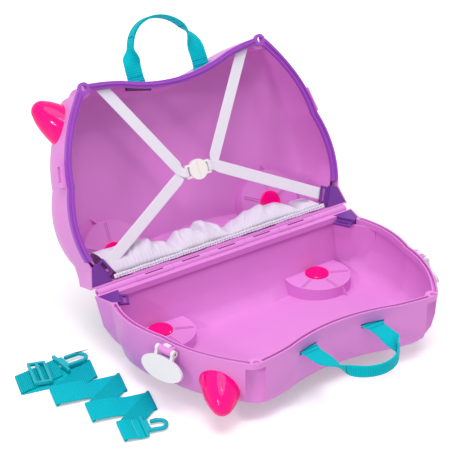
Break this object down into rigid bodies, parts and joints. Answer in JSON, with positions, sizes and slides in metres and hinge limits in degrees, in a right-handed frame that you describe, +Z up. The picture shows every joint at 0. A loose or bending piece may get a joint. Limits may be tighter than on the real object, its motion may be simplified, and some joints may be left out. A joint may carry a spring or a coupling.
{
  "type": "ride-on suitcase",
  "caption": "Child's ride-on suitcase, standing open: moulded halves on a pin hinge, wheels, end catches, webbing handles, luggage straps, pocket and tow strap.",
  "frame": {"origin": "on the floor under the middle of the part's bounding box, tow strap included", "axes": "+X along the hinge towards the rear end, +Y from the near half to the far half, +Z up"},
  "size_m": [0.6008, 0.5422, 0.4089],
  "materials": {
    "lilac_plastic": "satin moulded plastic",
    "purple_plastic": "dark purple plastic",
    "pink_plastic": "glossy hot pink plastic",
    "turquoise_plastic": "turquoise plastic",
    "turquoise_webbing": "ribbed woven webbing",
    "white_elastic": "woven elastic band",
    "white_cloth": "thin gathered cloth",
    "white_plastic": "white plastic",
    "steel_pin": "plain steel pin"
  },
  "bodies": {
    "base": {"base_shell": "lilac_plastic", "hinge_pin": "steel_pin", "corner_base_front": "purple_plastic", "corner_base_rear": "purple_plastic", "grip_base": "pink_plastic", "axle_base_front": "steel_pin", "axle_base_rear": "steel_pin", "disc_base_front": "pink_plastic", "disc_base_rear": "pink_plastic", "catch_pin_front": "steel_pin", "catch_pin_rear": "steel_pin", "catch_hook_front": "white_plastic", "catch_hook_rear": "white_plastic"},
    "lid": {"lid_shell": "lilac_plastic", "lid_rim_seal": "purple_plastic", "corner_lid_front": "purple_plastic", "corner_lid_rear": "purple_plastic", "grip_lid": "pink_plastic", "axle_lid_front": "steel_pin", "axle_lid_rear": "steel_pin", "disc_lid_front": "pink_plastic", "disc_lid_rear": "pink_plastic", "elastic_front": "white_elastic", "elastic_rear": "white_elastic", "buckle_socket": "white_plastic", "pocket_fabric": "white_cloth", "pocket_edge": "white_elastic"},
    "wheel_base_front": {"wheel_base_front": "turquoise_plastic", "trim_base_front": "pink_plastic"},
    "wheel_base_rear": {"wheel_base_rear": "turquoise_plastic", "trim_base_rear": "pink_plastic"},
    "wheel_lid_front": {"wheel_lid_front": "turquoise_plastic", "trim_lid_front": "pink_plastic"},
    "wheel_lid_rear": {"wheel_lid_rear": "turquoise_plastic", "trim_lid_rear": "pink_plastic"},
    "catch_front": {"catch_front": "white_plastic"},
    "catch_rear": {"catch_rear": "white_plastic"},
    "handle_base": {"handle_base": "turquoise_webbing", "handle_bars_base": "steel_pin"},
    "handle_lid": {"handle_lid": "turquoise_webbing", "handle_bars_lid": "steel_pin"},
    "buckle_tongue": {"buckle_tongue": "white_plastic"},
    "tow_strap": {"tow_webbing": "turquoise_webbing", "tow_slider": "turquoise_plastic", "tow_hook_long": "turquoise_plastic", "tow_hook_short": "turquoise_plastic"}
  },
  "joints": [
    {"name": "lid_hinge", "type": "hinge", "parent": "base", "child": "lid", "pos_m": [0.05958, 0.08616, 0.1025], "axis": [1, 0, 0], "range_deg": [0, 116.7]},
    {"name": "wheel_base_front_spin", "type": "hinge", "parent": "base", "child": "wheel_base_front", "pos_m": [-0.08042, 0.04966, 0.0145], "axis": [0, 0, 1], "continuous": true},
    {"name": "wheel_base_rear_spin", "type": "hinge", "parent": "base", "child": "wheel_base_rear", "pos_m": [0.19958, 0.04966, 0.0145], "axis": [0, 0, 1], "continuous": true},
    {"name": "wheel_lid_front_spin", "type": "hinge", "parent": "lid", "child": "wheel_lid_front", "pos_m": [-0.08042, 0.18118, 0.09557], "axis": [0, -0.8934, 0.4493], "continuous": true},
    {"name": "wheel_lid_rear_spin", "type": "hinge", "parent": "lid", "child": "wheel_lid_rear", "pos_m": [0.19958, 0.18118, 0.09557], "axis": [0, -0.8934, 0.4493], "continuous": true},
    {"name": "catch_front_swing", "type": "hinge", "parent": "base", "child": "catch_front", "pos_m": [-0.16294, -0.08454, 0.094], "axis": [-0.2009, 0.9796, 0], "range_deg": [0, 153]},
    {"name": "catch_rear_swing", "type": "hinge", "parent": "base", "child": "catch_rear", "pos_m": [0.2821, -0.08454, 0.094], "axis": [-0.2009, -0.9796, 0], "range_deg": [0, 153]},
    {"name": "handle_base_swing", "type": "hinge", "parent": "base", "child": "handle_base", "pos_m": [0.05958, -0.1736, 0.082], "axis": [1, 0, 0], "range_deg": [-20, 20], "stiffness_Nm_per_rad": 0.05},
    {"name": "handle_lid_swing", "type": "hinge", "parent": "lid", "child": "handle_lid", "pos_m": [0.05958, 0.22119, 0.32535], "axis": [1, 0, 0], "range_deg": [-20, 20], "stiffness_Nm_per_rad": 0.05},
    {"name": "buckle_release", "type": "slide", "parent": "lid", "child": "buckle_tongue", "axis": [1, 0, 0], "range_m": [0, 0.012], "deforming": ["elastic_rear"]},
    {"name": "tow_strap_slide", "type": "slide", "parent": "base", "child": "tow_strap", "axis": [-1, 0, 0], "range_m": [0, 0.2]}
  ]
}
